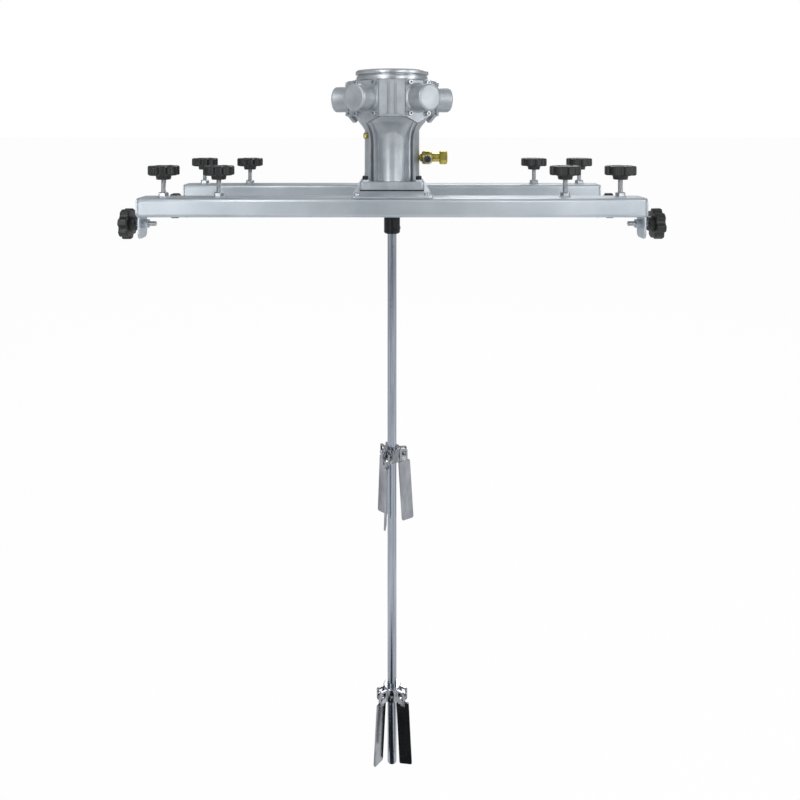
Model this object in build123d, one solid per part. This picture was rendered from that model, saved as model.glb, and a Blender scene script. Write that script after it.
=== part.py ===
# Air-driven mixer for a caged 1000 litre tank: a five-cylinder radial air motor on two rails that lie
# across the cage, with a long shaft and two folding impellers.
# Millimetres. +X runs along the rails, -Y is the front, +Z is up. The origin is on the mixer shaft's axis,
# in the plane of the rails' undersides, where they rest on the cage.
import os
from math import cos, radians, sin, sqrt

from build123d import *

# rails
RAIL_LENGTH = 793.0
RAIL_WIDE = 50.0
RAIL_HIGH = 30.0
RAIL_WALL = 3.0
RAIL_CORNER = 5.0
RAIL_PITCH = 240.0
LOCK_INNER_X = 276.6
LOCK_OUTER_X = 364.7
STUD_D = 8.0
NUT_HIGH = 7.5
NUT_ACROSS = 14.0

# telescoping arms
ARM_LENGTH = 325.0
ARM_PLAY = 0.4
ARM_WALL = 2.5
HOOK_X = 400.0
HOOK_THICK = 3.0
HOOK_WIDE = 34.0
HOOK_DROP = 35.0
HOOK_CORNER = 8.0
CLAMP_Z = -12.6
CLAMP_NUT_LONG = 9.0
CLAMP_REACH = 20.5

# star knobs
KNOB_R = 24.5
KNOB_THICK = 15.0
KNOB_LOBES = 7
KNOB_HUB_D = 22.0
KNOB_HUB_LONG = 6.8
KNOB_BORE_GAP = 0.25
KNOB_EDGE = 2.5
LOCK_KNOB_Z = 58.0
LOCK_TIP_GAP = 0.1
CLAMP_KNOB_X = 408.0

# cross plate
PLATE_WIDE = 128.0
PLATE_THICK = 3.0
PLATE_BOLT_X = 56.0
GASKET_THICK = 2.0

# motor
FLANGE_WIDE = 110.0
FLANGE_THICK = 13.6
FLANGE_BOLT = 45.5
NECK_CORE_R = 40.0
NECK_COLUMN_R = 25.0
NECK_BORE_R = 24.0
NECK_R = 48.4
NECK_TOP_R = 59.5
NECK_FLARE_Z = 112.0
HEAD_BASE_Z = 149.0
HEAD_TOP_Z = 221.0
FACE_R = 74.0
FACE_HALF = 26.5
FACE_PLATE = 6.0
CORNER_R = 75.5
CORNER_HALF = 22.0
FACE_EDGE_Z = 160.0
FACE_POINT_Z = 148.6
BARREL_Z = 190.5
BARREL_R = 23.0
BARREL_END_R = 108.5
BARREL_EDGE = 4.5
BORE_D = 30.0
LINER_D = 40.0
LINER_INNER_R = 60.0
CHAMBER_R = 57.0
HEAD_SCREW_U = 19.0
HEAD_SCREW_V = 26.0
COVER_R = 63.5
COVER_TOP_Z = 240.0
CYLINDERS = 5
FIRST_CYLINDER = 36.0

# crank and pistons
SHAFT_D = 16.0
ECCENTRIC = 10.0
CRANKPIN_D = 28.0
SWEEP_GAP = 0.5
PISTON_LONG = 22.0
PISTON_GAP = 0.1
PISTON_R = 62.0
ROD_D = 9.0

# air valve
VALVE_Z = 87.0
VALVE_KNOB_X = 65.0
INLET_R = 6.6
PLUG_Z = 126.0
PLUG_AT = -72.0
VALVE_KNOB_Z = 83.0

# shaft and impellers
COUPLING_D = 28.4
COUPLING_TOP = -5.0
COUPLING_BOTTOM = -47.0
COUPLING_MID = -27.0
MIXER_END = -982.5
FIT_GAP = 0.03
HUB_R = 15.0
HUB_HIGH = 23.0
UPPER_PIVOT = -442.0
LOWER_PIVOT = -861.0
UPPER_FIRST = 95.0
LOWER_FIRST = 60.0
PIVOT_ABOVE = 7.0
PIVOT_R = 21.0
EAR_R = 6.0
EAR_TOP = 14.0
EAR_GAP = 8.4
EAR_THICK = 3.0
PIN_D = 5.0
PIN_GAP = 0.25
BLADE_LONG = 113.0
BLADE_WIDE = 22.0
BLADE_THICK = 3.0
BLADE_START = 9.0
BLADE_PITCH = 70.0
BLADE_SPLAY = 3.5

OUT = "parts"


def save(name, shape):
    export_step(shape, f"{OUT}/{name}.step")


def rod(d, start, end):
    # round bar between two points
    line = Vector(*end) - Vector(*start)
    plane = Plane(origin=start, z_dir=line)
    return extrude(plane * Circle(d / 2), line.length)


def block(x0, x1, y0, y1, z0, z1):
    return Pos((x0 + x1) / 2, (y0 + y1) / 2, (z0 + z1) / 2) * Box(x1 - x0, y1 - y0, z1 - z0)


def turned(points):
    # solid of revolution about Z from (radius, height) points
    outline = Polyline(*[(r, 0, z) for r, z in points], close=True)
    return revolve(make_face(outline), Axis.Z)


def turn_z(shape, angle):
    return Rot(0, 0, angle) * shape


def group(shapes):
    return Compound(children=list(shapes))


def hexagon(across):
    return RegularPolygon(across / sqrt(3), 6)


# ---- rails, cross plate and lock screws

def lock_places():
    for y in (-RAIL_PITCH / 2, RAIL_PITCH / 2):
        for x in (-LOCK_OUTER_X, -LOCK_INNER_X, LOCK_INNER_X, LOCK_OUTER_X):
            yield x, y


def rail(y):
    section = Plane.YZ * Pos(y, RAIL_HIGH / 2)
    outer = extrude(section * RectangleRounded(RAIL_WIDE, RAIL_HIGH, RAIL_CORNER), RAIL_LENGTH / 2, both=True)
    wide = RAIL_WIDE - 2 * RAIL_WALL
    high = RAIL_HIGH - 2 * RAIL_WALL
    inner = extrude(section * RectangleRounded(wide, high, RAIL_CORNER - RAIL_WALL), RAIL_LENGTH, both=True)
    tube = outer - inner
    for x, at in lock_places():
        if at == y:
            tube -= rod(STUD_D + 1, (x, y, RAIL_HIGH / 2), (x, y, RAIL_HIGH + 1))
    for x in (-PLATE_BOLT_X, PLATE_BOLT_X):
        tube -= rod(6.6, (x, y, RAIL_HIGH / 2), (x, y, RAIL_HIGH + 1))
    return tube


def rail_nuts():
    nuts = []
    for x, y in lock_places():
        nut = Pos(x, y, RAIL_HIGH) * extrude(hexagon(NUT_ACROSS), NUT_HIGH)
        nut = chamfer(nut.faces().sort_by(Axis.Z)[-1].edges(), 0.8)
        nuts.append(nut - rod(STUD_D + 0.5, (x, y, 0), (x, y, 60)))
    return group(nuts)


def motor_plate():
    top = RAIL_HIGH + PLATE_THICK
    half_y = RAIL_PITCH / 2 + RAIL_WIDE / 2
    sheet = Pos(0, 0, RAIL_HIGH) * extrude(RectangleRounded(PLATE_WIDE, 2 * half_y, 6), PLATE_THICK)
    sheet -= rod(40, (0, 0, 0), (0, 0, top + 1))
    for x in (-1, 1):
        for y in (-1, 1):
            sheet -= rod(6.6, (x * FLANGE_BOLT, y * FLANGE_BOLT, 0), (x * FLANGE_BOLT, y * FLANGE_BOLT, 60))
            sheet -= rod(6.6, (x * PLATE_BOLT_X, y * RAIL_PITCH / 2, 0), (x * PLATE_BOLT_X, y * RAIL_PITCH / 2, 60))
        # stiffening lip that hangs between the rails
        edge = PLATE_WIDE / 2
        inner = RAIL_PITCH / 2 - RAIL_WIDE / 2 - 1
        sheet += block(min(x * edge, x * (edge - 3)), max(x * edge, x * (edge - 3)), -inner, inner, RAIL_HIGH - 14, top)
    return sheet


def plate_bolts():
    # button-head screws with their nuts inside the rails
    bolts = []
    top = RAIL_HIGH + PLATE_THICK
    under = RAIL_HIGH - RAIL_WALL
    for x in (-PLATE_BOLT_X, PLATE_BOLT_X):
        for y in (-RAIL_PITCH / 2, RAIL_PITCH / 2):
            head = Pos(x, y, top) * extrude(Circle(5.25), 3.3)
            head = fillet(head.faces().sort_by(Axis.Z)[-1].edges(), 2)
            head -= Pos(x, y, top + 1.2) * extrude(hexagon(4), 5)
            nut = Pos(x, y, under - 5) * extrude(hexagon(10), 5)
            bolts.append(head + nut + rod(6, (x, y, under - 6), (x, y, top + 0.5)))
    return group(bolts)


def lock_stud(x, y):
    tip = RAIL_HIGH - RAIL_WALL - ARM_PLAY + LOCK_TIP_GAP
    top = LOCK_KNOB_Z + KNOB_HUB_LONG + KNOB_THICK - 6
    stud = rod(STUD_D, (x, y, tip), (x, y, top))
    return chamfer(stud.edges().filter_by(GeomType.CIRCLE), 0.8)


def star_knob():
    # head and hub along +Z from the hub's end at the origin
    plan = Circle(KNOB_R)
    for k in range(KNOB_LOBES):
        plan -= Rot(0, 0, 360 / KNOB_LOBES * k) * Pos(KNOB_R + 2.3, 0) * Circle(6.2)
    plan = fillet(plan.vertices(), 2.2)
    head = extrude(plan, KNOB_THICK)
    ends = head.faces().sort_by(Axis.Z)
    head = fillet(ends[0].edges() + ends[-1].edges(), KNOB_EDGE)
    # dished top with a raised middle
    head -= Pos(0, 0, KNOB_THICK - 1.2) * extrude(Circle(13.5) - Circle(9), 3)
    knob = Pos(0, 0, KNOB_HUB_LONG) * head
    hub = Cone(KNOB_HUB_D / 2, KNOB_HUB_D / 2 + 1.5, KNOB_HUB_LONG + 0.5, align=(Align.CENTER, Align.CENTER, Align.MIN))
    knob += hub
    deep = KNOB_HUB_LONG + KNOB_THICK - 5.7
    return knob - rod(STUD_D + 2 * KNOB_BORE_GAP, (0, 0, -1), (0, 0, deep))


# ---- telescoping arms with their clamp hooks

def arm(side, y):
    # side is +1 at the right end, -1 at the left
    wide = RAIL_WIDE - 2 * RAIL_WALL - 2 * ARM_PLAY
    high = RAIL_HIGH - 2 * RAIL_WALL - 2 * ARM_PLAY
    inner_face = HOOK_X - HOOK_THICK
    section = Plane.YZ * Pos(0, RAIL_HIGH / 2)
    tube = extrude(section * (RectangleRounded(wide, high, 3) - Rectangle(wide - 2 * ARM_WALL, high - 2 * ARM_WALL)), ARM_LENGTH)
    tube = Pos(inner_face - ARM_LENGTH, 0, 0) * tube
    cap = extrude(section * RectangleRounded(RAIL_WIDE, RAIL_HIGH, 7), HOOK_THICK)
    tail = Plane.YZ * Pos(0, (RAIL_HIGH / 2 - HOOK_DROP) / 2)
    tail = extrude(tail * RectangleRounded(HOOK_WIDE, RAIL_HIGH / 2 + HOOK_DROP, HOOK_CORNER), HOOK_THICK)
    hook = Pos(inner_face, 0, 0) * (cap + tail)
    nut = Plane.YZ * Pos(0, CLAMP_Z)
    nut = Pos(inner_face - CLAMP_NUT_LONG, 0, 0) * extrude(nut * hexagon(13), CLAMP_NUT_LONG)
    whole = tube + hook + nut
    whole -= rod(STUD_D + 0.5, (inner_face - 20, 0, CLAMP_Z), (HOOK_X + 5, 0, CLAMP_Z))
    if side < 0:
        whole = turn_z(whole, 180)
    return Pos(0, y, 0) * whole


def clamp_screw(side, y):
    tip = HOOK_X - HOOK_THICK - CLAMP_REACH
    end = CLAMP_KNOB_X + KNOB_HUB_LONG + KNOB_THICK - 6
    stud = rod(STUD_D, (side * tip, y, CLAMP_Z), (side * end, y, CLAMP_Z))
    return chamfer(stud.edges().filter_by(GeomType.CIRCLE), 0.8)


def clamp_knob(side, y):
    return Pos(side * CLAMP_KNOB_X, y, CLAMP_Z) * Rot(0, side * 90, 0) * star_knob()


# ---- air motor

def flange_corners():
    for x in (-FLANGE_BOLT, FLANGE_BOLT):
        for y in (-FLANGE_BOLT, FLANGE_BOLT):
            yield x, y


def cylinder_angles():
    for k in range(CYLINDERS):
        yield FIRST_CYLINDER + 360 / CYLINDERS * k


def gasket():
    sheet = Pos(0, 0, RAIL_HIGH + PLATE_THICK) * extrude(RectangleRounded(FLANGE_WIDE - 1, FLANGE_WIDE - 1, 5), GASKET_THICK)
    sheet -= rod(46, (0, 0, 0), (0, 0, 60))
    for x, y in flange_corners():
        sheet -= rod(6.6, (x, y, 0), (x, y, 60))
    return sheet


def flange_base():
    return RAIL_HIGH + PLATE_THICK + GASKET_THICK


def neck_ribs(top):
    # four half-round columns and eight thin ribs, standing on the flange
    low = flange_base() + 2
    ribs = []
    for k in range(4):
        reach = NECK_R - NECK_COLUMN_R if k % 2 else NECK_R - NECK_COLUMN_R - 2
        ribs.append(turn_z(Pos(0, -reach, low) * extrude(Circle(NECK_COLUMN_R), top - low), 90 * k))
        for lean in (39, 51):
            ribs.append(turn_z(block(-1.6, 1.6, -NECK_TOP_R - 2, -30, low, top), 90 * k + lean))
    return ribs


def neck_envelope(low, high):
    # straight up to the flare, then a hollow curve out to the head
    wall = Spline((NECK_R, 0, NECK_FLARE_Z), (NECK_TOP_R, 0, high), tangents=((0, 0, 1), (0.75, 0, 1)))
    rest = Polyline((NECK_TOP_R, 0, high), (0, 0, high), (0, 0, low), (NECK_R, 0, low), (NECK_R, 0, NECK_FLARE_Z))
    return revolve(make_face(Curve() + [wall, rest]), Axis.Z)


def neck_core(low, high):
    wall = Spline((NECK_CORE_R, 0, 100), (NECK_TOP_R - 1.5, 0, high), tangents=((0, 0, 1), (0.9, 0, 1)))
    rest = Polyline((NECK_TOP_R - 1.5, 0, high), (0, 0, high), (0, 0, low), (NECK_CORE_R, 0, low), (NECK_CORE_R, 0, 100))
    return revolve(make_face(Curve() + [wall, rest]), Axis.Z)


def head_plan(face_r):
    # five cylinder faces with a narrower corner face between each pair
    points = []
    for angle in cylinder_angles():
        for u in (-FACE_HALF, FACE_HALF):
            points.append((face_r * sin(radians(angle)) + u * cos(radians(angle)),
                           -face_r * cos(radians(angle)) + u * sin(radians(angle))))
    corners = []
    for k in range(CYLINDERS):
        angle = FIRST_CYLINDER + 36 + 72 * k
        for u in (-CORNER_HALF, CORNER_HALF):
            corners.append((CORNER_R * sin(radians(angle)) + u * cos(radians(angle)),
                            -CORNER_R * cos(radians(angle)) + u * sin(radians(angle))))
    ring = []
    for k in range(CYLINDERS):
        ring += points[2 * k:2 * k + 2] + corners[2 * k:2 * k + 2]
    return make_face(Polyline(*ring, close=True))


def face_outline():
    # flat face plate: square top, pointed bottom
    half = FACE_HALF - 0.5
    return make_face(Polyline((-half, FACE_EDGE_Z), (0, FACE_POINT_Z), (half, FACE_EDGE_Z),
                              (half, HEAD_TOP_Z - 1), (-half, HEAD_TOP_Z - 1), close=True))


def facing(outline, near, far):
    # a sketch in the front face's plane made into a slab between two distances from the axis
    plane = Plane(origin=(0, -near, 0), x_dir=(1, 0, 0), z_dir=(0, -1, 0))
    return extrude(plane * outline, far - near)


def corner_trim():
    # two broad upright pads and a middle rib on a corner face, and the ledge under them
    trim = []
    for u in (-14.5, 14.5):
        pad = Pos(u, (FACE_EDGE_Z + HEAD_TOP_Z) / 2) * SlotCenterToCenter(HEAD_TOP_Z - FACE_EDGE_Z - 18, 13, rotation=90)
        trim.append(facing(pad, CORNER_R - 1, CORNER_R + 3.5))
    trim.append(facing(Pos(0, 190) * Rectangle(7, 56), CORNER_R - 3, CORNER_R + 2))
    ledge = facing(Pos(0, FACE_EDGE_Z + 1.5) * Rectangle(25, 3), CORNER_R - 6, CORNER_R + 5)
    return trim + [ledge]


def screw_places():
    for u in (-HEAD_SCREW_U, HEAD_SCREW_U):
        for v in (BARREL_Z - HEAD_SCREW_V, BARREL_Z + HEAD_SCREW_V):
            yield u, v


def motor_housing():
    base = flange_base()
    flange = Pos(0, 0, base) * extrude(RectangleRounded(FLANGE_WIDE, FLANGE_WIDE, 6), FLANGE_THICK)
    flange = chamfer(flange.faces().sort_by(Axis.Z)[-1].edges(), 1)
    body = flange + neck_core(base, HEAD_BASE_Z)
    for x, y in flange_corners():
        body += Pos(x, y, base) * extrude(Circle(8), FLANGE_THICK + 3)
    ribs = [rib & neck_envelope(base, HEAD_BASE_Z) for rib in neck_ribs(HEAD_BASE_Z)]
    for rib in ribs:
        body += rib
    body += turned([(0, HEAD_BASE_Z - 1), (NECK_TOP_R - 2, HEAD_BASE_Z - 1), (66, FACE_EDGE_Z + 2), (0, FACE_EDGE_Z + 2)])
    body += Pos(0, 0, FACE_EDGE_Z) * extrude(head_plan(FACE_R - FACE_PLATE), HEAD_TOP_Z - FACE_EDGE_Z)
    for angle in cylinder_angles():
        for piece in corner_trim():
            body += turn_z(piece, angle + 36)
    # chamber for the crank, five cylinder openings, and the bore for the output shaft
    body -= Pos(0, 0, 158) * extrude(Circle(CHAMBER_R), HEAD_TOP_Z)
    body -= Pos(0, 0, 60) * extrude(Circle(NECK_BORE_R), 82)
    body -= rod(24, (0, 0, base - 1), (0, 0, 170))
    body -= rod(40, (0, 0, 142), (0, 0, 153))
    body -= rod(40, (0, 0, base - 1), (0, 0, base + 11))
    for angle in cylinder_angles():
        body -= turn_z(rod(LINER_D + 0.4, (0, -40, BARREL_Z), (0, -FACE_R, BARREL_Z)), angle)
        for u, v in screw_places():
            body -= turn_z(rod(5.4, (u, -FACE_R - 1, v), (u, -FACE_R + 13, v)), angle)
    for x, y in flange_corners():
        body -= rod(6.6, (x, y, base - 1), (x, y, 60))
    # threaded openings for the air valve and the side plug
    body -= rod(9.4, (36, 0, VALVE_Z), (60, 0, VALVE_Z))
    body -= turn_z(rod(8.4, (0, -30, PLUG_Z), (0, -60, PLUG_Z)), PLUG_AT)
    return body


def cylinder_heads():
    heads = []
    for angle in cylinder_angles():
        face = FACE_R - FACE_PLATE
        head = facing(face_outline(), face, FACE_R)
        barrel = rod(2 * BARREL_R, (0, -face, BARREL_Z), (0, -BARREL_END_R, BARREL_Z))
        barrel = fillet(barrel.faces().sort_by(Axis.Y)[0].edges(), BARREL_EDGE)
        root = Plane(origin=(0, -FACE_R + 0.5, BARREL_Z), z_dir=(0, -1, 0))
        root = extrude(root * Circle(BARREL_R + 3), 3.5, taper=40)
        head = head + barrel + root
        for u, v in screw_places():
            head += rod(12.5, (u, -face, v), (u, -FACE_R - 1.5, v))
        head += rod(LINER_D, (0, -LINER_INNER_R, BARREL_Z), (0, -face - 1, BARREL_Z))
        head -= rod(BORE_D, (0, 0, BARREL_Z), (0, -100, BARREL_Z))
        for u, v in screw_places():
            head -= rod(5.4, (u, 0, v), (u, -FACE_R - 9, v))
        heads.append(turn_z(head, angle))
    return group(heads)


def head_screws():
    screws = []
    seat = FACE_R + 1.5
    for angle in cylinder_angles():
        for u, v in screw_places():
            head = rod(8.5, (u, -seat, v), (u, -seat - 5, v))
            head = fillet(head.faces().sort_by(Axis.Y)[0].edges(), 0.6)
            screw = head + rod(5, (u, -seat + 13, v), (u, -seat - 1, v))
            socket = Plane(origin=(u, -seat - 2.4, v), z_dir=(0, -1, 0))
            screws.append(turn_z(screw - extrude(socket * hexagon(4), 5), angle))
    return group(screws)


def top_cover():
    # bolted disc with a groove round its edge, and a seat under it for the upper bearing
    r = COVER_R
    z = HEAD_TOP_Z
    outline = [(0, z + 7), (9, z + 7), (9, z - 3), (17.5, z - 3), (17.5, z - 11), (23, z - 11), (23, z), (r - 2, z)]
    outline += [(r - 0.6, z + 1.5), (r - 0.6, z + 8.6), (r - 3, z + 9.6), (r - 3, z + 10.8), (r + 1, z + 11.8)]
    outline += [(r + 1, z + 16.5), (r - 1, COVER_TOP_Z), (24, COVER_TOP_Z), (22, COVER_TOP_Z - 2.5), (0, COVER_TOP_Z - 2.5)]
    disc = turned(outline)
    return disc


def flange_bolts():
    bolts = []
    seat = flange_base() + FLANGE_THICK + 3
    for x, y in flange_corners():
        head = Pos(x, y, seat) * extrude(Circle(5), 6)
        head = fillet(head.faces().sort_by(Axis.Z)[-1].edges(), 0.7)
        head -= Pos(x, y, seat + 3) * extrude(hexagon(5), 4)
        nut = Pos(x, y, RAIL_HIGH - 5.5) * extrude(hexagon(10), 5.5)
        bolts.append(head + nut + rod(6, (x, y, RAIL_HIGH - 7), (x, y, seat + 1)))
    return group(bolts)


def crankshaft():
    # output shaft, web, offset crankpin and upper journal in one piece
    low = COUPLING_MID + 1
    shaft = rod(SHAFT_D, (0, 0, low), (0, 0, 160))
    shaft += rod(17, (0, 0, HEAD_BASE_Z - 7), (0, 0, 160))
    pin = FIRST_CYLINDER
    at = (ECCENTRIC * sin(radians(pin)), -ECCENTRIC * cos(radians(pin)))
    web = turn_z(Pos(0, 8, 160) * extrude(Circle(30), 9), pin)
    shaft += web
    shaft += rod(CRANKPIN_D, (*at, 169), (*at, 205))
    shaft += rod(15, (0, 0, 203), (0, 0, HEAD_TOP_Z + 5))
    return shaft


def pistons():
    row = []
    d = BORE_D - 2 * PISTON_GAP
    for angle in cylinder_angles():
        piston = rod(d, (0, -PISTON_R, BARREL_Z), (0, -PISTON_R - PISTON_LONG, BARREL_Z))
        for near in (PISTON_R + 14, PISTON_R + 18):
            piston -= rod(d + 2, (0, -near, BARREL_Z), (0, -near - 1.6, BARREL_Z)) - rod(d - 3, (0, 0, BARREL_Z), (0, -99, BARREL_Z))
        piston -= rod(20, (0, -PISTON_R + 1, BARREL_Z), (0, -PISTON_R - 12, BARREL_Z))
        row.append(turn_z(piston, angle))
    return group(row)


def connecting_rods():
    # each rod's shoe stops just outside the circle that the crankpin sweeps
    row = []
    sweep = ECCENTRIC + CRANKPIN_D / 2 + SWEEP_GAP
    for angle in cylinder_angles():
        shoe = block(-9, 9, -sweep - 9, -5, BARREL_Z - 14, BARREL_Z + 14)
        shoe -= rod(2 * sweep, (0, 0, 150), (0, 0, 230))
        bar = rod(ROD_D, (0, -sweep - 4, BARREL_Z), (0, -PISTON_R - 11, BARREL_Z))
        foot = rod(16, (0, -PISTON_R - 8, BARREL_Z), (0, -PISTON_R - 11.9, BARREL_Z))
        row.append(turn_z(shoe + bar + foot, angle))
    return group(row)


def ring(inner, outer, low, high):
    return Pos(0, 0, low) * extrude(Circle(outer / 2) - Circle(inner / 2), high - low)


def bearings():
    upper = ring(15.2, 34.8, HEAD_TOP_Z - 11, HEAD_TOP_Z - 3.2)
    lower = ring(17.2, 39.8, HEAD_BASE_Z - 6.8, HEAD_BASE_Z + 3.5)
    foot = ring(SHAFT_D + 0.2, 39.8, flange_base() + 5, flange_base() + 11)
    return group([upper, lower, foot])


def shaft_seal():
    return ring(SHAFT_D + 0.2, 39.8, flange_base(), flange_base() + 4.8)


# ---- air valve

def along_x(points, z):
    # turned about a line along X through (0, 0, z); points are (x, radius)
    face = make_face(Polyline(*[(x, 0, z + r) for x, r in points], close=True))
    return revolve(face, Axis((0, 0, z), (1, 0, 0)))


def valve_body():
    outline = [(41, 0), (41, 4.5), (49.5, 4.5), (49.5, 7), (52, 7), (53.5, 10.5), (57, 12), (66, 12), (69.5, 10.5)]
    outline += [(71.5, 7.5), (84, 7.5), (84, 0)]
    body = along_x(outline, VALVE_Z)
    body -= rod(5, (40, 0, VALVE_Z), (97, 0, VALVE_Z))
    # boss for the stem
    body += rod(11, (VALVE_KNOB_X - 3, -4, VALVE_KNOB_Z + 2), (VALVE_KNOB_X - 3, -14.5, VALVE_KNOB_Z + 2))
    body -= rod(5.6, (VALVE_KNOB_X - 3, -9, VALVE_KNOB_Z + 2), (VALVE_KNOB_X - 3, -16, VALVE_KNOB_Z + 2))
    return body


def valve_knob():
    x = VALVE_KNOB_X - 3
    z = VALVE_KNOB_Z + 2
    stem = rod(5, (x, -9.3, z), (x, -20, z)) + rod(8, (x, -15, z), (x, -24, z))
    grip = rod(9.6, (x, -24, z), (x, -34, z))
    return stem + fillet(grip.faces().sort_by(Axis.Y)[0].edges(), 1.5)


def hose_nut():
    # knurled coupling nut
    nut = along_x([(84.1, INLET_R), (84.1, 10.5), (85.6, 12), (96, 12), (97.5, 10.5), (97.5, INLET_R)], VALVE_Z)
    for k in range(18):
        angle = radians(20 * k)
        at = (12.6 * cos(angle), VALVE_Z + 12.6 * sin(angle))
        nut -= rod(2, (83, *at), (99, *at))
    return nut


def side_plug():
    plug = rod(8, (0, -32, PLUG_Z), (0, -49, PLUG_Z))
    head = Plane(origin=(0, -48.6, PLUG_Z), z_dir=(0, -1, 0))
    return turn_z(plug + extrude(head * hexagon(9), 3), PLUG_AT)


# ---- coupling, shaft and impellers

def coupling():
    body = rod(COUPLING_D, (0, 0, COUPLING_BOTTOM), (0, 0, COUPLING_TOP))
    body = chamfer(body.edges().filter_by(GeomType.CIRCLE), 2)
    body -= rod(SHAFT_D + 2 * FIT_GAP, (0, 0, COUPLING_BOTTOM - 1), (0, 0, COUPLING_TOP + 1))
    for z in (COUPLING_BOTTOM + 9, COUPLING_TOP - 9):
        for angle in (20, 110):
            body -= turn_z(rod(6.3, (0, -7, z), (0, -16, z)), angle)
    return body


def grub(z, angle, tip, end):
    screw = rod(6, (0, -tip, z), (0, -end, z))
    socket = Plane(origin=(0, -end + 2.5, z), z_dir=(0, -1, 0))
    return turn_z(screw - extrude(socket * hexagon(3), 4), angle)


def set_screws():
    near = SHAFT_D / 2 + 0.1
    row = [grub(z, angle, near, COUPLING_D / 2 + 0.8) for z in (COUPLING_BOTTOM + 9, COUPLING_TOP - 9) for angle in (20, 110)]
    row.append(grub(UPPER_PIVOT + 8, UPPER_FIRST + 60, near, HUB_R + 0.8))
    row.append(grub(LOWER_PIVOT + 8, LOWER_FIRST - 60, near, HUB_R + 0.8))
    return group(row)


def mixer_shaft():
    shaft = rod(SHAFT_D, (0, 0, MIXER_END), (0, 0, COUPLING_MID - 1))
    return chamfer(shaft.edges().filter_by(GeomType.CIRCLE), 1)


def impeller_hub(pivot, first):
    low = pivot - PIVOT_ABOVE
    hub = rod(2 * HUB_R, (0, 0, low), (0, 0, low + HUB_HIGH))
    hub = chamfer(hub.edges().filter_by(GeomType.CIRCLE), 1)
    for k in range(3):
        for side in (-1, 1):
            inner = side * EAR_GAP / 2
            outer = side * (EAR_GAP / 2 + EAR_THICK)
            ear = Plane(origin=(min(inner, outer), 0, 0), x_dir=(0, -1, 0), z_dir=(1, 0, 0))
            outside = PIVOT_R + EAR_R
            high = EAR_TOP + EAR_R
            plan = Pos((8 + outside) / 2, -pivot - (EAR_TOP - EAR_R) / 2) * RectangleRounded(outside - 8, high, 2.5)
            plan -= Pos(outside - 6.7, -pivot - EAR_TOP + 6.5) * Rectangle(7.4, 7)
            hub += turn_z(extrude(ear * plan, EAR_THICK), first + 120 * k)
    hub -= rod(SHAFT_D + 2 * FIT_GAP, (0, 0, low - 1), (0, 0, low + HUB_HIGH + 1))
    for k in range(3):
        hub -= turn_z(rod(PIN_D + 0.1, (-20, -PIVOT_R, pivot), (20, -PIVOT_R, pivot)), first + 120 * k)
    screw_at = first + 60 if first == UPPER_FIRST else first - 60
    hub -= turn_z(rod(6.3, (0, -7, pivot + 8), (0, -20, pivot + 8)), screw_at)
    return hub


def blade_pins():
    row = []
    reach = EAR_GAP / 2 + EAR_THICK
    for pivot, first in ((UPPER_PIVOT, UPPER_FIRST), (LOWER_PIVOT, LOWER_FIRST)):
        for k in range(3):
            pin = rod(PIN_D, (-reach - 2, -PIVOT_R, pivot), (reach + 2, -PIVOT_R, pivot))
            pin += rod(8, (-reach - 2.2, -PIVOT_R, pivot), (-reach - 0.05, -PIVOT_R, pivot))
            pin += rod(8, (reach + 0.05, -PIVOT_R, pivot), (reach + 2.2, -PIVOT_R, pivot))
            row.append(turn_z(pin, first + 120 * k))
    return group(row)


def blade(pivot, angle):
    # built hanging from a pivot at the origin, its face turned about the length
    wide = EAR_GAP - 0.8
    eye = rod(2 * EAR_R - 1, (-wide / 2, 0, 0), (wide / 2, 0, 0))
    neck = block(-2.6, 2.6, -4.2, 4.2, -BLADE_START - 5, -3)
    plan = Pos(0, -(BLADE_LONG + BLADE_START) / 2) * RectangleRounded(BLADE_WIDE, BLADE_LONG - BLADE_START, 2.5)
    plate = extrude(Plane.XZ * plan, BLADE_THICK / 2, both=True)
    plate = turn_z(plate, -BLADE_PITCH)
    piece = eye + neck + plate - rod(PIN_D + 2 * PIN_GAP, (-10, 0, 0), (10, 0, 0))
    piece = Pos(0, -PIVOT_R, pivot) * Rot(-BLADE_SPLAY, 0, 0) * piece
    return turn_z(piece, angle)


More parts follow.
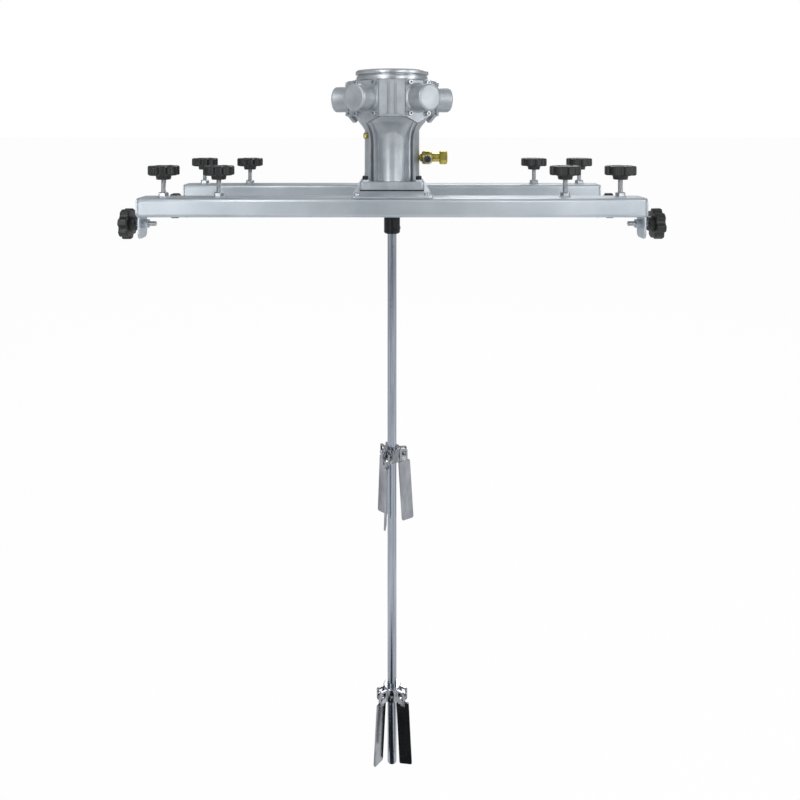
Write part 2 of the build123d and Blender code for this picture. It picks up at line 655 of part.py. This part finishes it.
def main():
    os.makedirs(OUT, exist_ok=True)
    save("front_rail", rail(-RAIL_PITCH / 2))
    save("rear_rail", rail(RAIL_PITCH / 2))
    save("rail_nuts", rail_nuts())
    save("motor_plate", motor_plate())
    save("plate_bolts", plate_bolts())
    knob = star_knob()
    names = ("far_left", "left", "right", "far_right")
    for n, (x, y) in enumerate(lock_places()):
        where = ("front_" if y < 0 else "rear_") + names[n % 4]
        save(f"{where}_lock_stud", lock_stud(x, y))
        save(f"{where}_lock_knob", Pos(x, y, LOCK_KNOB_Z) * knob)
    for y, row in ((-RAIL_PITCH / 2, "front"), (RAIL_PITCH / 2, "rear")):
        for side, end in ((-1, "left"), (1, "right")):
            save(f"{row}_{end}_arm", arm(side, y))
            save(f"{row}_{end}_clamp_screw", clamp_screw(side, y))
            save(f"{row}_{end}_clamp_knob", clamp_knob(side, y))
    save("gasket", gasket())
    save("motor_housing", motor_housing())
    save("cylinder_heads", cylinder_heads())
    save("head_screws", head_screws())
    save("top_cover", top_cover())
    save("flange_bolts", flange_bolts())
    save("crankshaft", crankshaft())
    save("pistons", pistons())
    save("connecting_rods", connecting_rods())
    save("bearings", bearings())
    save("shaft_seal", shaft_seal())
    save("valve_body", valve_body())
    save("valve_knob", valve_knob())
    save("hose_nut", hose_nut())
    save("side_plug", side_plug())
    save("coupling", coupling())
    save("set_screws", set_screws())
    save("mixer_shaft", mixer_shaft())
    save("upper_hub", impeller_hub(UPPER_PIVOT, UPPER_FIRST))
    save("lower_hub", impeller_hub(LOWER_PIVOT, LOWER_FIRST))
    save("blade_pins", blade_pins())
    for k in range(3):
        save(f"upper_blade_{k + 1}", blade(UPPER_PIVOT, UPPER_FIRST + 120 * k))
        save(f"lower_blade_{k + 1}", blade(LOWER_PIVOT, LOWER_FIRST + 120 * k))


main()
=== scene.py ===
import math

import bpy
import numpy as np
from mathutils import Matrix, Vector


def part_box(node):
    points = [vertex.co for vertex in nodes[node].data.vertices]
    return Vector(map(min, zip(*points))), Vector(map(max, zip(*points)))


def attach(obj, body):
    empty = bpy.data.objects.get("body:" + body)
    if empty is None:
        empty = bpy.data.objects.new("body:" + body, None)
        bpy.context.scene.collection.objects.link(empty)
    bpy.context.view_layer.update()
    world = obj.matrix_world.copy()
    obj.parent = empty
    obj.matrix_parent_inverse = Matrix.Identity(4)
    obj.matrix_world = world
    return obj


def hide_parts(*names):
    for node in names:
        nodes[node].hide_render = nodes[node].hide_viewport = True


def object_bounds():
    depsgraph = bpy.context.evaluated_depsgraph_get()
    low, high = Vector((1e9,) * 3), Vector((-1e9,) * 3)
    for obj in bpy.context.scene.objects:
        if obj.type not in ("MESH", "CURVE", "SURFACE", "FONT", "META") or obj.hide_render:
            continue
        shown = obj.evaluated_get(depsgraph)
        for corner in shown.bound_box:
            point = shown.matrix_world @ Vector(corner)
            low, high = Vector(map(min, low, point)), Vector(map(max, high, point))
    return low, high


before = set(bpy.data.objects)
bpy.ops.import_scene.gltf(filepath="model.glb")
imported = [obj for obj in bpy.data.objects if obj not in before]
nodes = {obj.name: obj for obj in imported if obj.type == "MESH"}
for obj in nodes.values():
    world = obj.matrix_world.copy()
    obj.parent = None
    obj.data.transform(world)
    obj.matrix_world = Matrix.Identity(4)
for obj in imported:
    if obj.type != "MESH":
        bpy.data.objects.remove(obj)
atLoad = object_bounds()
print("frame loaded", len(nodes), "nodes")

MM = 0.001
JOIN_M = 0.00001
BLOTCH_STOPS = (0.32, 0.68)


# ---- small helpers

def linear(hexColour):
    # sRGB hex to linear RGBA
    values = [int(hexColour[i:i + 2], 16) / 255 for i in (1, 3, 5)]
    return [v / 12.92 if v <= 0.04045 else ((v + 0.055) / 1.055) ** 2.4 for v in values] + [1.0]


def addNode(tree, kind, settings=None, links=None):
    # one shader node with its socket values and its incoming links
    node = tree.nodes.new(kind)
    for key, value in (settings or {}).items():
        if key in node.inputs:
            node.inputs[key].default_value = value
        else:
            setattr(node, key, value)
    for key, source in (links or {}).items():
        tree.links.new(source, node.inputs[key])
    return node


def ramp(tree, fac, stops):
    # colour ramp with (place, colour) stops
    node = addNode(tree, "ShaderNodeValToRGB", links={"Fac": fac})
    band = node.color_ramp
    while len(band.elements) < len(stops):
        band.elements.new(0.5)
    for element, (place, colour) in zip(band.elements, stops):
        element.position = place
        element.color = colour
    return node.outputs["Color"]


def span(tree, fac, low, high):
    # spreads a 0 to 1 factor between two values
    node = addNode(tree, "ShaderNodeMapRange", {"To Min": low, "To Max": high}, {"Value": fac})
    return node.outputs["Result"]


def stretched(tree, scale):
    # object coordinates, scaled per axis, in repeats per metre
    coords = addNode(tree, "ShaderNodeTexCoord")
    mapping = addNode(tree, "ShaderNodeMapping", {"Scale": scale}, {"Vector": coords.outputs["Object"]})
    return mapping.outputs["Vector"]


def noise(tree, scale, detail=4.0, roughness=0.55):
    vector = stretched(tree, scale)
    node = addNode(tree, "ShaderNodeTexNoise",
                   {"Scale": 1.0, "Detail": detail, "Roughness": roughness}, {"Vector": vector})
    return node.outputs["Fac"]


def surface(name, look):
    # base colour between two tones, roughness between two values, and one bump
    material = bpy.data.materials.new(name)
    material.use_nodes = True
    tree = material.node_tree
    tree.nodes.clear()
    out = addNode(tree, "ShaderNodeOutputMaterial")
    shader = addNode(tree, "ShaderNodeBsdfPrincipled", {"Metallic": look["metallic"]})
    broad = noise(tree, look["blotch"])
    dark, light = BLOTCH_STOPS
    colour = ramp(tree, broad, [(dark, linear(look["dark"])), (light, linear(look["light"]))])
    tree.links.new(colour, shader.inputs["Base Color"])
    streak = noise(tree, look["streak"], 3.0)
    tree.links.new(span(tree, streak, look["rough"][0], look["rough"][1]), shader.inputs["Roughness"])
    fine = noise(tree, look["grain"], 3.0, 0.6)
    bump = addNode(tree, "ShaderNodeBump",
                   {"Strength": look["bump"], "Distance": look["depth"]}, {"Height": fine})
    tree.links.new(bump.outputs["Normal"], shader.inputs["Normal"])
    tree.links.new(shader.outputs["BSDF"], out.inputs["Surface"])
    return material


# ---- finishes; scales are repeats per metre, depths in metres

looks = {
    # satin silver paint on steel
    "satinSilverPaint": {"dark": "#a9b1b8", "light": "#bcc3c9", "metallic": 0.55, "rough": (0.30, 0.42),
                         "blotch": (9, 9, 9), "streak": (30, 160, 160), "grain": (1800, 1800, 1800),
                         "bump": 0.12, "depth": 0.00005},
    # shot-blasted cast aluminium
    "castAluminium": {"dark": "#a3a9ae", "light": "#bbc0c5", "metallic": 0.75, "rough": (0.38, 0.52),
                      "blotch": (35, 35, 35), "streak": (240, 240, 240), "grain": (1500, 1500, 1500),
                      "bump": 0.28, "depth": 0.00012},
    # turned aluminium with fine rings
    "turnedAluminium": {"dark": "#a9aeb3", "light": "#c3c7cb", "metallic": 0.85, "rough": (0.28, 0.42),
                        "blotch": (30, 30, 120), "streak": (60, 60, 1500), "grain": (120, 120, 4000),
                        "bump": 0.12, "depth": 0.00005},
    # drawn stainless bar, streaked along its length
    "drawnStainless": {"dark": "#868d97", "light": "#b6bcc6", "metallic": 1.0, "rough": (0.14, 0.26),
                       "blotch": (260, 260, 7), "streak": (500, 500, 12), "grain": (900, 900, 60),
                       "bump": 0.10, "depth": 0.00004},
    # polished stainless sheet
    "polishedStainless": {"dark": "#84878c", "light": "#a9acb1", "metallic": 1.0, "rough": (0.10, 0.20),
                          "blotch": (60, 60, 22), "streak": (300, 300, 40), "grain": (500, 500, 80),
                          "bump": 0.06, "depth": 0.00004},
    # zinc plated steel
    "zincPlate": {"dark": "#a5a9ae", "light": "#c6cacd", "metallic": 1.0, "rough": (0.24, 0.40),
                  "blotch": (150, 150, 150), "streak": (500, 500, 500), "grain": (2500, 2500, 2500),
                  "bump": 0.10, "depth": 0.00004},
    # ground and hardened steel
    "groundSteel": {"dark": "#8e9093", "light": "#aeb0b2", "metallic": 1.0, "rough": (0.22, 0.34),
                    "blotch": (60, 60, 60), "streak": (80, 80, 1200), "grain": (100, 100, 3000),
                    "bump": 0.08, "depth": 0.00004},
    # black oxide on steel
    "blackOxide": {"dark": "#121315", "light": "#1f2124", "metallic": 0.55, "rough": (0.30, 0.44),
                   "blotch": (90, 90, 90), "streak": (400, 400, 400), "grain": (2200, 2200, 2200),
                   "bump": 0.14, "depth": 0.00005},
    # moulded black nylon
    "mouldedNylon": {"dark": "#0f1011", "light": "#191a1b", "metallic": 0.0, "rough": (0.34, 0.50),
                     "blotch": (70, 70, 70), "streak": (350, 350, 350), "grain": (1900, 1900, 1900),
                     "bump": 0.30, "depth": 0.00008},
    # bright brass with a greenish cast
    "brightBrass": {"dark": "#a89a45", "light": "#cdbf6b", "metallic": 1.0, "rough": (0.20, 0.36),
                    "blotch": (120, 120, 120), "streak": (500, 200, 200), "grain": (3000, 800, 800),
                    "bump": 0.10, "depth": 0.00004},
    # black nitrile rubber
    "nitrileRubber": {"dark": "#0c0c0d", "light": "#161617", "metallic": 0.0, "rough": (0.62, 0.78),
                      "blotch": (60, 60, 60), "streak": (300, 300, 300), "grain": (1500, 1500, 1500),
                      "bump": 0.20, "depth": 0.00008},
}
finish = {name: surface(name, look) for name, look in looks.items()}
print("finishes", len(finish))


def finishOf(node):
    # which finish a CAD node wears
    exact = {
        "motor_housing": "castAluminium", "cylinder_heads": "castAluminium", "top_cover": "turnedAluminium",
        "front_rail": "satinSilverPaint", "rear_rail": "satinSilverPaint", "motor_plate": "satinSilverPaint",
        "rail_nuts": "zincPlate", "gasket": "nitrileRubber", "shaft_seal": "nitrileRubber",
        "pistons": "turnedAluminium", "connecting_rods": "groundSteel", "crankshaft": "groundSteel",
        "bearings": "groundSteel", "valve_body": "brightBrass", "hose_nut": "brightBrass",
        "side_plug": "brightBrass", "valve_knob": "mouldedNylon", "coupling": "blackOxide",
        "plate_bolts": "zincPlate", "head_screws": "zincPlate", "flange_bolts": "blackOxide",
        "set_screws": "blackOxide", "mixer_shaft": "drawnStainless", "upper_hub": "polishedStainless",
        "lower_hub": "polishedStainless", "blade_pins": "zincPlate",
    }
    if node in exact:
        return exact[node]
    if node.endswith("_arm"):
        return "satinSilverPaint"
    if node.endswith("_knob"):
        return "mouldedNylon"
    if "_blade_" in node:
        return "polishedStainless"
    return "zincPlate"


for name, obj in nodes.items():
    obj.data.materials.clear()
    obj.data.materials.append(finish[finishOf(name)])


# ---- softened edges on the CAD pieces

edges = {
    "rails": {"nodes": ("front_rail", "rear_rail"), "width": 0.6, "angle": 35},
    "plate": {"nodes": ("motor_plate",), "width": 0.5, "angle": 35},
    "motor": {"nodes": ("motor_housing", "cylinder_heads"), "width": 0.5, "angle": 38},
    "cover": {"nodes": ("top_cover",), "width": 0.4, "angle": 38},
    "hubs": {"nodes": ("upper_hub", "lower_hub"), "width": 0.3, "angle": 38},
}
sheetEdge = {"width": 0.4, "angle": 35}


def soften(obj, width, angle):
    # joins split vertices, then rounds the sharp edges
    joined = obj.modifiers.new("joined", "WELD")
    joined.merge_threshold = JOIN_M
    bevel = obj.modifiers.new("softEdge", "BEVEL")
    bevel.width = width * MM
    bevel.segments = 2
    bevel.limit_method = "ANGLE"
    bevel.angle_limit = math.radians(angle)
    bevel.harden_normals = True
    bevel.use_clamp_overlap = True


for group in edges.values():
    for name in group["nodes"]:
        soften(nodes[name], group["width"], group["angle"])
for name, obj in nodes.items():
    if name.endswith("_arm") or "_blade_" in name:
        soften(obj, sheetEdge["width"], sheetEdge["angle"])
print("edges softened")


# ---- computed surfaces

def tubeFaces(rows, cols):
    # quads of a rows x cols grid whose last column joins the first
    r = np.arange(rows - 1)[:, None]
    c = np.arange(cols)[None, :]
    d = (c + 1) % cols
    a = r * cols + c
    b = r * cols + d
    e = (r + 1) * cols + d
    f = (r + 1) * cols + c
    return np.stack([a, b, e, f], axis=-1).reshape(-1, 4)


def ringFaces(rows, cols):
    # quads of a grid that is closed both ways, such as a torus
    r = np.arange(rows)[:, None]
    c = np.arange(cols)[None, :]
    nextRow = (r + 1) % rows
    nextCol = (c + 1) % cols
    corners = [r * cols + c, nextRow * cols + c, nextRow * cols + nextCol, r * cols + nextCol]
    return np.stack(corners, axis=-1).reshape(-1, 4)


def meshFrom(name, parts, material):
    # parts is a list of (points, quads); returns one smooth object at the origin
    points, faces, start = [], [], 0
    for p, q in parts:
        points.append(p)
        faces.append(q + start)
        start += len(p)
    allPoints = np.concatenate(points)
    allFaces = np.concatenate(faces)
    mesh = bpy.data.meshes.new(name)
    mesh.vertices.add(len(allPoints))
    mesh.vertices.foreach_set("co", allPoints.astype(np.float32).ravel())
    mesh.loops.add(allFaces.size)
    mesh.loops.foreach_set("vertex_index", allFaces.astype(np.int32).ravel())
    mesh.polygons.add(len(allFaces))
    mesh.polygons.foreach_set("loop_start", np.arange(len(allFaces), dtype=np.int32) * 4)
    mesh.polygons.foreach_set("use_smooth", np.ones(len(allFaces), dtype=bool))
    mesh.update(calc_edges=True)
    mesh.validate()
    mesh.materials.append(material)
    obj = bpy.data.objects.new(name, mesh)
    bpy.context.collection.objects.link(obj)
    return obj


# M8 coarse; the ends fade to a cone over the lead, and close on a tip of nearly no width
thread = {"pitchMm": 1.25, "depthMm": 0.62, "around": 40, "perTurn": 8, "leadMm": 1.2,
          "coneShare": 1.2, "tipMm": 0.01}


def threadedBar(start, direction, lengthMm, radiusMm):
    # radius = R - depth * |2 * fract(z / pitch - angle / turn) - 1|
    t = thread
    rings = int(lengthMm / t["pitchMm"] * t["perTurn"])
    z = np.linspace(0, lengthMm, rings)
    angle = np.linspace(0, 2 * np.pi, t["around"], endpoint=False)
    phase = (z[:, None] / t["pitchMm"] - angle[None, :] / (2 * np.pi)) % 1.0
    r = radiusMm - t["depthMm"] * np.abs(2 * phase - 1)
    lead = np.minimum(z, lengthMm - z) / t["leadMm"]
    limit = radiusMm - t["depthMm"] * t["coneShare"] * np.clip(1 - lead, 0, 1)
    r = np.minimum(r, limit[:, None])
    z = np.concatenate([[0], z, [lengthMm]])
    tip = np.full((1, t["around"]), t["tipMm"])
    r = np.concatenate([tip, r, tip])
    tall = np.repeat(z[:, None], t["around"], axis=1)
    local = np.stack([r * np.cos(angle), r * np.sin(angle), tall], axis=-1)
    turn = np.array(Vector(direction).to_track_quat("Z", "Y").to_matrix())
    points = local.reshape(-1, 3) @ turn.T * MM + np.array(start)
    return points, tubeFaces(len(z), t["around"])


def threadStud(node, direction):
    # threaded bar in the place of a plain CAD stud
    low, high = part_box(node)
    centre = (Vector(low) + Vector(high)) / 2
    size = Vector(high) - Vector(low)
    axis = Vector(direction)
    length = abs(size.dot(axis))
    start = centre - axis * length / 2
    radius = min(size) / 2
    parts = [threadedBar(tuple(start), direction, length / MM, radius / MM)]
    stud = meshFrom(node + "Thread", parts, finish["zincPlate"])
    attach(stud, node)
    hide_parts(node)


for name in list(nodes):
    if name.endswith("_lock_stud"):
        threadStud(name, (0, 0, 1))
    elif name.endswith("_clamp_screw"):
        threadStud(name, (1, 0, 0))
print("threads made")


weld = {"ringMm": 8.0, "tubeMm": 1.5, "ripples": 26, "around": 156, "section": 12, "rippleMm": 0.18}


def beadRing(centre, axis):
    # torus whose section swells with the ripples: s = tube + ripple * |sin(ripples * a / 2)|
    w = weld
    a = np.linspace(0, 2 * np.pi, w["around"], endpoint=False)
    b = np.linspace(0, 2 * np.pi, w["section"], endpoint=False)
    s = w["tubeMm"] + w["rippleMm"] * np.abs(np.sin(w["ripples"] * a / 2))
    r = w["ringMm"] + s[:, None] * np.cos(b)[None, :]
    h = s[:, None] * np.sin(b)[None, :]
    local = np.stack([r * np.cos(a)[:, None], r * np.sin(a)[:, None], h], axis=-1)
    turn = np.array(Vector(axis).to_track_quat("Z", "Y").to_matrix())
    points = local.reshape(-1, 3) @ turn.T * MM + np.array(centre)
    return points, ringFaces(w["around"], w["section"])


# weld beads round the lock nuts, on the rails
beads = []
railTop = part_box("front_rail")[1][2]
for name in nodes:
    if name.endswith("_lock_stud"):
        low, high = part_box(name)
        foot = ((low[0] + high[0]) / 2, (low[1] + high[1]) / 2, railTop)
        beads.append(beadRing(foot, (0, 0, 1)))
nutBeads = meshFrom("nutWeldBeads", beads, finish["satinSilverPaint"])
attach(nutBeads, "frame")
print("beads made")


# plated collar round the stem of the valve knob, seated on the valve body
collar = {"innerMm": 5.1, "outerMm": 7.4, "heightMm": 8.0, "edgeMm": 0.5, "seatMm": 0.5, "around": 72,
          "sharpDeg": 30}


def turnedRing(centre, axis, outlineMm, around):
    # closed outline of (radius, height) points, turned once round the axis
    a = np.linspace(0, 2 * np.pi, around, endpoint=False)[:, None]
    radius, height = np.array(outlineMm).T
    local = np.stack([radius * np.cos(a), radius * np.sin(a), height + 0 * a], axis=-1)
    turn = np.array(Vector(axis).to_track_quat("Z", "Y").to_matrix())
    points = local.reshape(-1, 3) @ turn.T * MM + np.array(centre)
    return points, ringFaces(around, len(radius))


knobLow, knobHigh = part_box("valve_knob")
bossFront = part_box("valve_body")[0][1] + collar["seatMm"] * MM
collarAt = ((knobLow[0] + knobHigh[0]) / 2, bossFront, (knobLow[2] + knobHigh[2]) / 2)
inner, outer = collar["innerMm"], collar["outerMm"]
tall, edge = collar["heightMm"], collar["edgeMm"]
outline = [(inner, 0), (outer, 0), (outer, tall - edge), (outer - edge, tall),
           (inner + edge, tall), (inner, tall - edge)]
ring = turnedRing(collarAt, (0, -1, 0), outline, collar["around"])
knobCollar = meshFrom("knobCollar", [ring], finish["zincPlate"])
knobCollar.data.set_sharp_from_angle(angle=math.radians(collar["sharpDeg"]))
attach(knobCollar, "frame")
print("collar made")


# ---- floor, backdrop and light


def flatPanel(name, corners, material):
    # one four-cornered sheet
    mesh = bpy.data.meshes.new(name)
    mesh.from_pydata(corners, [], [(0, 1, 2, 3)])
    mesh.materials.append(material)
    obj = bpy.data.objects.new(name, mesh)
    bpy.context.collection.objects.link(obj)
    return obj


stage = {"floorDropMm": 70, "cameraWhite": 0.965, "metalWhite": 0.45, "floorM": 400, "floorColour": "#f2f3f4"}
half = stage["floorM"] / 2
floorZ = atLoad[0][2] - stage["floorDropMm"] * MM
floorMat = bpy.data.materials.new("paleFloor")
floorMat.use_nodes = True
tree = floorMat.node_tree
tree.nodes.clear()
out = addNode(tree, "ShaderNodeOutputMaterial")
matte = addNode(tree, "ShaderNodeBsdfDiffuse", {"Color": linear(stage["floorColour"])})
glow = addNode(tree, "ShaderNodeEmission", {"Color": (1, 1, 1, 1), "Strength": 1.0})
path = addNode(tree, "ShaderNodeLightPath")
# share of white glow that the camera and the metal see in place of the lit floor
toCamera = addNode(tree, "ShaderNodeMath", {"operation": "MULTIPLY"})
tree.links.new(path.outputs["Is Camera Ray"], toCamera.inputs[0])
toCamera.inputs[1].default_value = stage["cameraWhite"]
toMetal = addNode(tree, "ShaderNodeMath", {"operation": "MULTIPLY_ADD"})
tree.links.new(path.outputs["Is Glossy Ray"], toMetal.inputs[0])
tree.links.new(toCamera.outputs[0], toMetal.inputs[2])
toMetal.inputs[1].default_value = stage["metalWhite"]
mix = addNode(tree, "ShaderNodeMixShader")
tree.links.new(toMetal.outputs[0], mix.inputs[0])
tree.links.new(matte.outputs[0], mix.inputs[1])
tree.links.new(glow.outputs[0], mix.inputs[2])
tree.links.new(mix.outputs[0], out.inputs["Surface"])
corners = [(-half, -half, floorZ), (half, -half, floorZ), (half, half, floorZ), (-half, half, floorZ)]
floor = flatPanel("floor", corners, floorMat)

world = bpy.data.worlds.new("studio")
bpy.context.scene.world = world
world.use_nodes = True
tree = world.node_tree
tree.nodes.clear()
out = addNode(tree, "ShaderNodeOutputWorld")
path = addNode(tree, "ShaderNodeLightPath")
# light from all round is a soft grey, darker towards the floor; the camera sees white
studio = {"lowZ": -0.6, "highZ": 0.7, "strength": 0.6,
          "stops": [(0.0, "#8f9296"), (0.45, "#c4c7ca"), (1.0, "#f2f4f6")]}
coords = addNode(tree, "ShaderNodeTexCoord")
apart = addNode(tree, "ShaderNodeSeparateXYZ", links={"Vector": coords.outputs["Generated"]})
height = addNode(tree, "ShaderNodeMapRange",
                 {"From Min": studio["lowZ"], "From Max": studio["highZ"]}, {"Value": apart.outputs["Z"]})
sky = ramp(tree, height.outputs["Result"], [(place, linear(tone)) for place, tone in studio["stops"]])
soft = addNode(tree, "ShaderNodeBackground", {"Strength": studio["strength"]}, {"Color": sky})
white = addNode(tree, "ShaderNodeBackground", {"Color": (1, 1, 1, 1), "Strength": 1.0})
mix = addNode(tree, "ShaderNodeMixShader")
tree.links.new(path.outputs["Is Camera Ray"], mix.inputs[0])
tree.links.new(soft.outputs[0], mix.inputs[1])
tree.links.new(white.outputs[0], mix.inputs[2])
tree.links.new(mix.outputs[0], out.inputs["Surface"])


def softbox(name, place, target, size, power):
    lamp = bpy.data.lights.new(name, "AREA")
    lamp.shape = "RECTANGLE"
    lamp.size, lamp.size_y = size
    lamp.energy = power
    obj = bpy.data.objects.new(name, lamp)
    obj.location = place
    obj.rotation_mode = "QUATERNION"
    obj.rotation_quaternion = (Vector(target) - Vector(place)).to_track_quat("-Z", "Y")
    bpy.context.collection.objects.link(obj)
    return obj


lamps = {
    "key": {"place": (-1.6, -2.2, 1.7), "target": (0, 0, 0), "size": (1.2, 1.2), "power": 24},
    "side": {"place": (2.3, -1.0, 0.6), "target": (0, 0, -0.2), "size": (0.7, 1.8), "power": 15},
    "back": {"place": (0.6, 2.3, 1.6), "target": (0, 0, 0), "size": (1.4, 0.8), "power": 26},
    "frontLeft": {"place": (-1.5, -2.6, 0.25), "target": (-0.3, 0, 0), "size": (0.8, 1.0), "power": 22},
    "frontRight": {"place": (1.5, -2.6, 0.25), "target": (0.3, 0, 0), "size": (0.8, 1.0), "power": 26},
}
lampObjects = [softbox(name, l["place"], l["target"], l["size"], l["power"]) for name, l in lamps.items()]

# dark cards beside and behind the camera give the metal its dark streaks
cards = {
    "cardLeft": {"centre": (-1.5, -1.9, -0.35), "wide": 0.45, "high": 1.8},
    "cardRight": {"centre": (1.25, -2.1, -0.45), "wide": 0.35, "high": 1.6},
    "cardMiddle": {"centre": (0.0, -2.3, -0.2), "wide": 0.7, "high": 1.8},
}
cardMat = bpy.data.materials.new("matteBlackCard")
cardMat.use_nodes = True
cardMat.node_tree.nodes["Principled BSDF"].inputs["Base Color"].default_value = linear("#1a1a1b")
cardMat.node_tree.nodes["Principled BSDF"].inputs["Roughness"].default_value = 1.0
cardObjects = []
for name, card in cards.items():
    x, y, z = card["centre"]
    aim = math.atan2(-x, -y)
    wx, wy = math.cos(aim) * card["wide"] / 2, -math.sin(aim) * card["wide"] / 2
    h = card["high"] / 2
    corners = [(x - wx, y - wy, z - h), (x + wx, y + wy, z - h),
               (x + wx, y + wy, z + h), (x - wx, y - wy, z + h)]
    cardObjects.append(flatPanel(name, corners, cardMat))
# a card lying in front of the lower blades turns the right-hand blade dark
lying = {"left": -0.16, "right": 0.07, "near": -0.42, "far": -0.05, "aboveFloor": 0.003}
lyingZ = floorZ + lying["aboveFloor"]
corners = [(lying["left"], lying["near"], lyingZ), (lying["right"], lying["near"], lyingZ),
           (lying["right"], lying["far"], lyingZ), (lying["left"], lying["far"], lyingZ)]
lyingCard = flatPanel("cardLying", corners, cardMat)
lyingCard.visible_shadow = False
lyingCard.visible_diffuse = False
cardObjects.append(lyingCard)
for obj in cardObjects:
    obj.visible_camera = False
print("stage set")


# ---- camera

shot = {"backM": 1.207, "heightM": 0.1464, "lensMm": 30.63, "sensorMm": 36, "shiftX": 0.010,
        "shiftY": -0.345, "nearM": 0.05, "farM": 60}
camera = bpy.data.cameras.new("camera")
camera.sensor_width = shot["sensorMm"]
camera.lens = shot["lensMm"]
camera.shift_x = shot["shiftX"]
camera.shift_y = shot["shiftY"]
camera.clip_start = shot["nearM"]
camera.clip_end = shot["farM"]
cameraObject = bpy.data.objects.new("camera", camera)
cameraObject.location = (0, -shot["backM"], shot["heightM"])
cameraObject.rotation_euler = (math.pi / 2, 0, 0)
bpy.context.collection.objects.link(cameraObject)
bpy.context.scene.camera = cameraObject
bpy.context.scene.view_settings.view_transform = "Standard"
